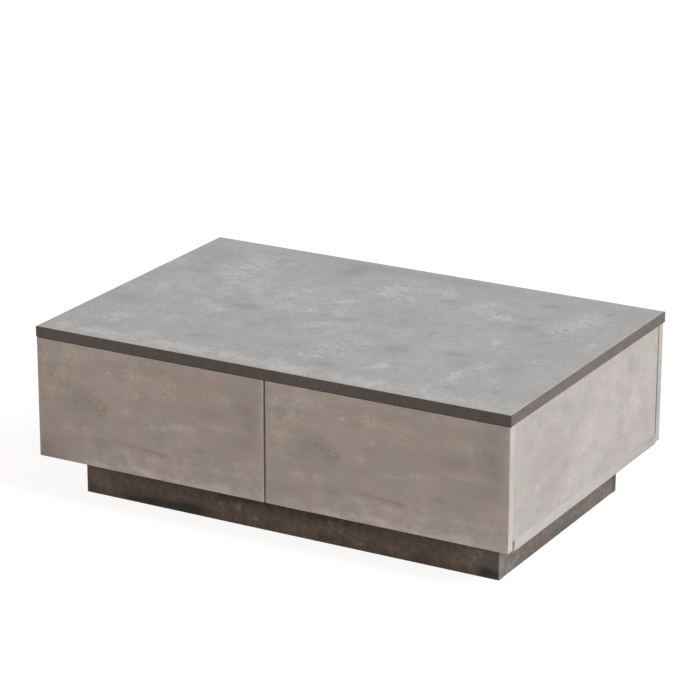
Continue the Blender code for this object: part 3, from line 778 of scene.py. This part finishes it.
def bent_sheet(corners, bend, thickness, low, high):
    """A strip of sheet: the line moved half the thickness to each side, from y low to y high."""
    line, heading = rounded_line(corners, bend)
    sideways = np.stack([-heading[:, 1], heading[:, 0]], -1) * thickness / 2
    section = np.concatenate([line + sideways, (line - sideways)[::-1]])
    points = np.empty((2, len(section), 3))
    points[..., 0] = section[:, 0]
    points[..., 1] = np.array((low, high))[:, None]
    points[..., 2] = section[:, 1]
    ids = np.arange(2 * len(section)).reshape(2, 2, -1)
    ends = [grid_faces(np.stack([one_side, other_side[::-1]])) for one_side, other_side in ids]
    return points.reshape(-1, 3), np.concatenate([wall_faces(ids.reshape(2, -1)), *ends])


angle_line = rounded_line([(0, 0), (0.01, 0), (0.01, 0.01)], 0.002)[0]
print("points along a line with one bend:", len(angle_line))

# %% [markdown]
# Each slide nests three rails, and two ball cages run between them. The places come from the frame's
# own solids: the wall side of a rail is where its solid is screwed on, and the lips hook round the
# balls. Punched holes are slots with round ends. They are stamped out of each cabinet rail and each
# drawer rail, with one cutter for the rail. The intermediate rails have none.

# %% Rails
SHEET = 0.0012
LIP = 0.0014
BEND = 0.0019
LIP_BEND = 0.0010
SLOT_RADIUS = 0.0022
SLOT_LENGTH = 0.0060
SLOT_SHARES = (-0.78, -0.55, -0.30, 0.30, 0.55, 0.78)
SLOT_LINES = np.linspace(-1, 1, 6)


def channel_line(web, depth, half, opens, lip):
    """The middle line of a channel, from lip to lip round its web."""
    near = web + opens * SHEET / 2
    far = web + opens * (depth - SHEET / 2)
    rim = half - SHEET / 2
    line = [(far, rim), (near, rim), (near, -rim), (far, -rim)]
    if lip:
        line = [(far, half - SHEET - lip), *line, (far, -half + SHEET + lip)]
    return line


def slots(web, opens, middle, half_length):
    """Cutters for the spare holes: round skins drawn out along the rail and laid across its web."""
    through = [(0, 2 * SHEET), (0, -2 * SHEET)]
    points, faces = skin(SLOT_LINES, SLOT_LINES, round_outline(SLOT_RADIUS), through)
    points[:, 0] += np.sign(points[:, 0]) * SLOT_LENGTH / 2
    stamp = lay(points, (web + opens * SHEET / 2, middle[1], middle[2]), (Y, Z, X))
    return repeat(stamp, faces, [(0, share * half_length, 0) for share in SLOT_SHARES])


def rolled_rail(node_name, opens, lip):
    """One rail, rolled to the room of its solid. It opens along +X or -X."""
    middle, half = room(node_name)
    web = middle[0] - opens * half[0]
    line = channel_line(web, 2 * half[0], half[2], opens, lip)
    line = [(across, up + middle[2]) for across, up in line]
    sheet = bent_sheet(line, LIP_BEND if lip else BEND, SHEET, middle[1] - half[1], middle[1] + half[1])
    rail = piece(node_name + "_rolled", *sheet, rail_steel, "rail_steel", node_name, [node_name])
    if not node_name.endswith("intermediate_rail"):
        cut_out(rail, *slots(web, opens, middle, half[1]))
    return rail


SLIDES = [("%s_drawer_%s_" % (side, hand), opens) for side in ("left", "right")
          for hand, opens in (("left", 1), ("right", -1))]
for stem, opens in SLIDES:
    rolled_rail(stem + "cabinet_rail", opens, LIP)
    rolled_rail(stem + "intermediate_rail", opens, LIP)
    rolled_rail(stem + "drawer_rail", -opens, 0)
print("rails:", count_made("_rolled"))

# %% [markdown]
# Between the rails, steel balls run in two rows. There are hundreds of them, so each has only a few
# dozen faces and relies on smooth shading. Loops that ran to the poles would end in a point, where the
# shading pinches, so they stop a little before it and a small disc closes them.

# %% One ball
BALL_RADIUS = 0.0021
BALL_LOOPS = 6
BALL_POLE = math.radians(18)
BALL_LINES = np.array((-1.0, 0.0, 1.0))


def ball(radius):
    """A sphere as loops: the inset is r(1 - sin a) and the level r cos a, with a small disc at each pole."""
    angle = np.linspace(BALL_POLE, math.pi - BALL_POLE, BALL_LOOPS)
    loops = np.stack([radius * (1 - np.sin(angle)), radius * np.cos(angle)], -1)
    return skin(BALL_LINES, BALL_LINES, round_outline(radius), loops)


print("faces of a ball:", len(ball(BALL_RADIUS)[1]))

# %% [markdown]
# A cage keeps the balls apart: a thin leg behind each row, a bridge between the legs at both ends, and a
# ridge along each row that swells round every ball. The balls are larger than the ridge is thick, so
# they stand out above and below it and touch both rails.

# %% Ball cages
BALL_PITCH = 0.0095
CAGE_SHEET = 0.0008
ROW_HEIGHT = 0.0035
ROW_THICKNESS = 0.0014
NECK_SHARE = 0.55
STATIONS_PER_BALL = 8
LEG_INWARDS = 0.0015
LEG_OUTWARDS = 0.0006
BRIDGE = 0.014
BRIDGE_SHORTER = 0.0010

cage_black, tree, shader = new_finish("black_cage_plastic")
place = object_place(tree)
grain = cloud(tree, place, 0.0007, 3.0, 0.6)
haze = cloud(tree, place, 0.012, 3.0, 0.5)
dress(tree, shader, Base_Color=blend(tree, haze, tone(28, 28, 30), tone(44, 44, 46)),
      Roughness=fit_range(tree, haze, NOISE_SPAN, (0.38, 0.52)), Normal=dent(tree, grain, 0.00003, 0.4))


def ridge(near, far, level, low, high):
    """One ball row's ridge: a bar whose thickness swells at each ball, by a cosine along the row."""
    count = int((high - low) / BALL_PITCH)
    start = (low + high) / 2 - (count - 1) * BALL_PITCH / 2
    y = np.linspace(low, high, STATIONS_PER_BALL * count + 1)
    swell = 0.5 + 0.5 * np.cos(2 * math.pi * (y - start) / BALL_PITCH)
    half = ROW_THICKNESS / 2 * (NECK_SHARE + (1 - NECK_SHARE) * swell)
    section = np.array([(near, 1), (far, 1), (far, -1), (near, -1)], float)
    points = np.empty((len(y), 4, 3))
    points[..., 0] = section[:, 0]
    points[..., 1] = y[:, None]
    points[..., 2] = level + section[:, 1] * half[:, None]
    ids = np.arange(len(y) * 4).reshape(len(y), 4)
    faces = np.concatenate([wall_faces(ids), ids[:1], ids[-1:, ::-1]])
    return points.reshape(-1, 3), faces, start + np.arange(count) * BALL_PITCH


def ball_cage(node_name, opens):
    """A cage and its balls, in the room of their solid."""
    middle, half = room(node_name)
    low, high = middle[1] - half[1], middle[1] + half[1]
    near = middle[0] - opens * (half[0] - CAGE_SHEET / 2)
    far = middle[0] + opens * half[0]
    row = half[2] - ROW_HEIGHT / 2
    parts, centres = [], []
    for sign in (1, -1):
        level = middle[2] + sign * row
        points, faces, along = ridge(near, far, level, low, high)
        parts.append((points, faces))
        centres += [(middle[0] + opens * CAGE_SHEET / 2, y, level) for y in along]
        leg = [(near, level - sign * LEG_INWARDS), (near, level + sign * LEG_OUTWARDS)]
        parts.append(bent_sheet(leg, 0, CAGE_SHEET, low, high))
    reach = row - BRIDGE_SHORTER
    for start in (low, high - BRIDGE):
        web_line = [(near, middle[2] - reach), (near, middle[2] + reach)]
        parts.append(bent_sheet(web_line, 0, CAGE_SHEET, start, start + BRIDGE))
    piece(node_name + "_pressed", *gather(parts), cage_black, "cage_plastic", node_name, [node_name])
    piece(node_name + "_balls", *repeat(*ball(BALL_RADIUS), centres), ball_steel, "rail_steel", node_name)
    return len(centres)


ball_count = 0
for stem, opens in SLIDES:
    for cage in ("outer_ball_cage", "inner_ball_cage"):
        ball_count += ball_cage(stem + cage, opens)
print("cages:", count_made("_pressed"), "balls:", ball_count)

# %% [markdown]
# Screws hold the rails and the latches. The cross in a screw head has straight walls, which a round
# grid would blur. So the grid is square, with lines exactly at the arms' edges, and the outline makes
# it round. The points between those lines sink to the bottom of the cross. A cam lock has such a
# cross too, in a sunk face with a raised rim.

# %% A screw and a cam
SCREW_RADIUS = 0.0030
SCREW_HEIGHT = 0.0007
SCREW_SHANK = 0.0017
SCREW_INSET = 0.035

# The head's loops as shares of its radius and height, then how high its dome starts and how far it falls
HEAD_LOOPS = ((0.12, 0.70), (0.0, 0.45), (0.0, 0.0))
DOME_START = 0.30
DOME_FALL = 0.35

# A cross as its arms' length and width, in shares of the radius, and its depth
SCREW_CROSS = (0.62, 0.15, 0.0011)
CAM_CROSS = (0.43, 0.09, 0.0022)
CROSS_WALL = 0.04
HAIR = 1e-6

# The cam's rim as shares of its radius, the sink of its face, and its broken outer edge
CAM_FACE, CAM_RIM_FOOT, CAM_RIM = 0.20, 0.16, 0.13
CAM_SINK = 0.0004
CAM_EASE = 0.0003


def cross_grid(arm, width, depth):
    """Grid lines at both edges of the cross, doubled so that its walls are steep, and how deep it is."""
    lines = np.array((-1, -(1 + arm) / 2, -arm - CROSS_WALL, -arm, -width - CROSS_WALL, -width))
    lines = np.concatenate([lines, [0.0], -lines[::-1]])
    u, v = np.meshgrid(np.abs(lines), np.abs(lines), indexing="ij")
    inside = (np.minimum(u, v) <= width + HAIR) & (np.maximum(u, v) <= arm + HAIR)
    return lines, inside * depth


def screw_head(height):
    """A low domed head on a short shank, seen down its axis."""
    lines, cross = cross_grid(*SCREW_CROSS)
    u, v = np.meshgrid(lines, lines, indexing="ij")
    dome = height * (DOME_START - DOME_FALL * np.clip(u * u + v * v, 0, 1))
    loops = [(SCREW_RADIUS * inset, height * level) for inset, level in HEAD_LOOPS]
    loops += [(SCREW_RADIUS - SCREW_SHANK, level) for level in (0, -3 * SHEET)]
    return skin(lines, lines, round_outline(SCREW_RADIUS), loops, cross - dome)


def screws(name, places, axes, carrier, height=SCREW_HEIGHT):
    """A row of screws that look along the third axis."""
    points, faces = screw_head(height)
    many = repeat(lay(points, (0, 0, 0), axes), faces, places)
    return piece(name, *many, screw_steel, "rail_steel", carrier)


def cam(radius, half):
    """A cast cam lock, seen down its axis: a sunk face with a cross, a raised rim, and a drum."""
    lines, cross = cross_grid(*CAM_CROSS)
    loops = [(CAM_FACE * radius, half - CAM_SINK), (CAM_RIM_FOOT * radius, half - CAM_SINK),
             (CAM_RIM * radius, half), (CAM_EASE, half), (0, half - CAM_EASE), (0, -half + CAM_EASE),
             (CAM_EASE, -half)]
    return skin(lines, lines, round_outline(radius), loops, cross)


print("faces of a screw:", len(screw_head(SCREW_HEIGHT)[1]))

# %% [markdown]
# Three screws hold each cabinet rail and each drawer rail, in its middle and near its ends, and their
# heads stand on the inside of its web. The cams sit in the sides of the drawer and look into it.

# %% Set the screws and the cams
# The axes of a head that looks along +X, and of one that looks along -X
LOOKS = {1: (Y, Z, X), -1: (Z, Y, -X)}
for stem, opens in SLIDES:
    for rail, way in (("cabinet_rail", opens), ("drawer_rail", -opens)):
        middle, half = room(stem + rail)
        web_inside = middle[0] - way * (half[0] - SHEET)
        reach = half[1] - SCREW_INSET
        places = [(web_inside, middle[1] + share * reach, middle[2]) for share in (-1, 0, 1)]
        screws(stem + rail + "_screws", places, LOOKS[way], stem + rail)
for stem, opens in SLIDES:
    for node_name in (stem + "lower_cam", stem + "upper_cam"):
        middle, half = room(node_name)
        points, faces = cam(half[2], half[0])
        piece(node_name + "_cast", lay(points, middle, LOOKS[opens]), faces, cam_zinc, "cam_zinc",
              node_name, [node_name])
print("rows of screws:", count_made("_screws"), "cams:", count_made("_cast"))

# %% [markdown]
# The drawer boxes are thin chipboard wrapped in a pale foil with a fine woven print, and their bottoms
# are hardboard: lacquered above, raw and brown below. These solids already have the right shape, with
# their grooves and pockets, so they stay and only get a finish. Hardboard tells its two sides apart by
# the direction that a surface faces.

# %% Foil and hardboard
THREAD = 0.0011
FIBRE = 0.0022
FOIL_HAZE = 0.060
LACQUER_HAZE = 0.080
THREAD_SPAN = (0.35, 0.65)

box_foil, tree, shader = new_finish("woven_print_foil")
place = object_place(tree)
long_threads = cloud(tree, stretched(tree, place, (1.0, 0.06, 1.0)), THREAD, 2.0, 0.5)
upright_threads = cloud(tree, stretched(tree, place, (1.0, 1.0, 0.08), (2.0, 0, 0)), THREAD, 2.0, 0.5)
threads = mix_numbers(tree, long_threads, upright_threads, 0.5)
share = mix_numbers(tree, cloud(tree, place, FOIL_HAZE, 4.0, 0.6), threads, 0.3)
woven = blend(tree, fit_range(tree, share, THREAD_SPAN, ALL), tone(186, 183, 177), tone(208, 205, 199))
dress(tree, shader, Base_Color=woven, Roughness=fit_range(tree, threads, THREAD_SPAN, (0.52, 0.64)),
      Normal=dent(tree, threads, 0.00008, 0.5))

hardboard, tree, shader = new_finish("lacquered_hardboard")
place = object_place(tree)
upwards = node(tree, "SeparateXYZ", node(tree, "NewGeometry").outputs["Normal"]).outputs[2]
fibres = cloud(tree, stretched(tree, place, (1.0, 0.5, 1.0)), FIBRE, 6.0, 0.7)
haze = cloud(tree, place, LACQUER_HAZE, 3.0, 0.5)
raw = blend(tree, fibres, tone(92, 66, 46), tone(140, 106, 78))
lacquer = blend(tree, fit_range(tree, haze, NOISE_SPAN, ALL), tone(196, 192, 185), tone(206, 203, 197))
dress(tree, shader, Base_Color=blend(tree, fit_range(tree, upwards, (0.4, 0.6), ALL), raw, lacquer),
      Roughness=fit_range(tree, fibres, NOISE_SPAN, (0.48, 0.66)), Normal=dent(tree, fibres, 0.00006, 0.4))


def refinish(node_name, finish):
    """Give a solid that stays its real finish."""
    for material_slot in nodes[node_name].material_slots:
        material_slot.material = finish


for side in ("left", "right"):
    for part in ("left_side", "right_side", "back"):
        refinish("%s_drawer_%s" % (side, part), box_foil)
    refinish(side + "_drawer_bottom", hardboard)
    refinish(side + "_striker_plate", rail_steel)

print("solids in foil:", box_foil.users, "in hardboard:", hardboard.users)

# %% [markdown]
# The push latches are injection moulded. Moulded plastic has an even colour with a very slight drift,
# a satin skin from the etched mould, and tiny flow marks.

# %% Moulded plastic
def moulded(name, dark, light, roughness, grain_size):
    """Plastic with an etched skin and slow flow marks."""
    finish, tree, shader = new_finish(name)
    place = object_place(tree)
    etched = cloud(tree, place, grain_size, 2.0, 0.5)
    flow = cloud(tree, place, 0.015, 3.0, 0.6)
    dress(tree, shader, Base_Color=blend(tree, flow, dark, light), Roughness=uneven(tree, flow, roughness),
          Normal=dent(tree, etched, 0.00003, 0.5))
    return finish


latch_grey = moulded("grey_latch_plastic", tone(150, 151, 152), tone(166, 167, 168), 0.42, 0.0005)
print("plastics:", cage_black.name, latch_grey.name)

# %% [markdown]
# The plunger is turned: a dished tip, and behind it a thinner shank with two shallow grip rings. So it
# is a round skin whose loops are the turned profile. Two screws hold the flange of its housing.

# %% Plungers and latch screws
ROUND_LINES = np.linspace(-1, 1, 9)
TIP_LENGTH = 0.0030
TIP_EASE = 0.0006
DISH = ((0.0018, -0.0003), (0.0014, 0.0))
SHANK_RADIUS = 0.0040
RING_STARTS = (0.0016, 0.0040)
RING_SINK = 0.0004
RING = ((0.0, 0.0), (0.0002, RING_SINK), (0.0010, RING_SINK), (0.0012, 0.0))
FLANGE = 0.0030
LATCH_SCREW_REACH = 0.0160
LATCH_SCREW_HEIGHT = 0.0010


def plunger(radius, length):
    """The turned plunger, from its dished tip down, as a round skin of (radius, level) pairs."""
    rings = [(SHANK_RADIUS - sink, -TIP_LENGTH - start - offset)
             for start in RING_STARTS for offset, sink in RING]
    profile = [(radius - inset, level) for inset, level in DISH]
    profile += [(radius - TIP_EASE, 0.0), (radius, -TIP_EASE), (radius, -TIP_LENGTH)]
    profile += [(SHANK_RADIUS, -TIP_LENGTH), *rings]
    profile += [(SHANK_RADIUS, -length + TIP_EASE), (SHANK_RADIUS - TIP_EASE, -length)]
    loops = [(radius - reach, level) for reach, level in profile]
    return skin(ROUND_LINES, ROUND_LINES, round_outline(radius), loops)


for side in ("left", "right"):
    housing, node_name = side + "_latch_housing", side + "_latch_plunger"
    refinish(housing, latch_grey)
    middle, half = room(node_name)
    points, faces = plunger(half[0], 2 * half[1])
    tip = middle - (0, half[1], 0)
    piece(node_name + "_turned", lay(points, tip, FACING["forwards"]), faces, latch_grey, "latch_plastic",
          node_name, [node_name])
    middle, half = room(housing)
    flange_front = middle[1] + half[1] - FLANGE
    places = [(middle[0] + sign * LATCH_SCREW_REACH, flange_front, middle[2]) for sign in (-1, 1)]
    screws(side + "_latch_screws", places, FACING["forwards"], housing, LATCH_SCREW_HEIGHT)
print("pieces:", len(made_pieces), "faces:", sum(made_pieces.values()))

# %% [markdown]
# The table stands on a plain pale floor in soft studio light. For the eye, and for what metal and film
# reflect, floor and surroundings are white. For the light that falls on the table they are dimmer and
# a little warm, so that the shaded fronts keep their colour. Light Path tells the two apart.

# %% Surroundings
WHITE = (1, 1, 1, 1)
AMBIENT = (1.0, 0.69, 0.50, 1.0)
AMBIENT_STRENGTH = 0.36


def seen_or_mirrored(tree):
    """1 for camera, glossy and transmission rays, and 0 for the light that falls on things."""
    path = node(tree, "LightPath").outputs
    both = calc(tree, "ADD", path["Is Camera Ray"], path["Is Glossy Ray"], clamp=True)
    return calc(tree, "ADD", both, path["Is Transmission Ray"], clamp=True)


world = bpy.data.worlds.new("studio")
world.use_nodes = True
tree = world.node_tree
dim = node(tree, "Background", AMBIENT, AMBIENT_STRENGTH).outputs[0]
white = node(tree, "Background", WHITE, 1.0).outputs[0]
mixed = node(tree, "MixShader", seen_or_mirrored(tree), dim, white).outputs[0]
tree.links.new(mixed, tree.nodes["World Output"].inputs[0])
bpy.context.scene.world = world
print("ambient:", AMBIENT_STRENGTH)

# %% [markdown]
# The falling light meets a matt paint. The eye meets a veil of white with a weak diffuse share added to
# it, and that share is what shows the table's shadow.

# %% Floor
FLOOR_REACH = 14.0
FLOOR_LINES = np.linspace(-1, 1, 9)
FLOOR_SPECK = 0.40
FLOOR_VEIL = 0.90
FLOOR_SHADE = (0.22, 0.22, 0.22, 1)

floor_paint, tree, shader = new_finish("pale_floor")
speck = cloud(tree, object_place(tree), FLOOR_SPECK, 3.0, 0.5)
dress(tree, shader, Base_Color=blend(tree, speck, tone(226, 220, 213), tone(230, 224, 218)), Roughness=0.9,
      Specular_IOR_Level=0.0)
veil = node(tree, "Emission", WHITE, FLOOR_VEIL).outputs[0]
shade = node(tree, "BsdfDiffuse", FLOOR_SHADE).outputs[0]
shown = node(tree, "AddShader", veil, shade).outputs[0]
mixed = node(tree, "MixShader", seen_or_mirrored(tree), shader.outputs[0], shown).outputs[0]
tree.links.new(mixed, tree.nodes["Material Output"].inputs[0])
u, v = np.meshgrid(FLOOR_LINES, FLOOR_LINES, indexing="ij")
floor_points = np.stack([u, v, 0 * u], -1).reshape(-1, 3) * FLOOR_REACH
floor_mesh = bpy.data.meshes.new("floor")
floor_mesh.from_pydata(floor_points.tolist(), [], grid_faces(np.arange(u.size).reshape(u.shape)).tolist())
floor_mesh.materials.append(floor_paint)
floor = in_scene("floor", floor_mesh)
print("floor, metres across:", 2 * FLOOR_REACH)

# %% [markdown]
# One large square lamp stands high up on the right. What reaches the table falls with the square of the
# distance, so the lamp's power is worked out from the light that should arrive.

# %% Lamp
def soft_box(name, at, aim, size, strength, colour):
    """A square lamp that looks from one place at another.

    strength is the light that it gives a surface square to it, where 1 shows a colour as written.
    """
    at, aim = Vector(at), Vector(aim)
    light = bpy.data.lights.new(name, "AREA")
    light.shape = "SQUARE"
    light.size = size
    light.energy = strength * math.pi ** 2 * (at - aim).length ** 2
    light.color = colour
    lamp = in_scene(name, light)
    lamp.matrix_world = Matrix.Translation(at) @ (at - aim).to_track_quat("Z", "Y").to_matrix().to_4x4()
    return lamp


key = soft_box("key_softbox", at=(5.8, -0.7, 6.2), aim=(0, 0, 0.2), size=4.4, strength=0.95,
               colour=(0.84, 0.95, 1.0))
print("power of the lamp, in watts:", round(key.data.energy))

# %% [markdown]
# The picture uses the plain Standard view, so that a colour of the finish is the colour of the render.

# %% Close the scene
bpy.context.scene.view_settings.view_transform = "Standard"
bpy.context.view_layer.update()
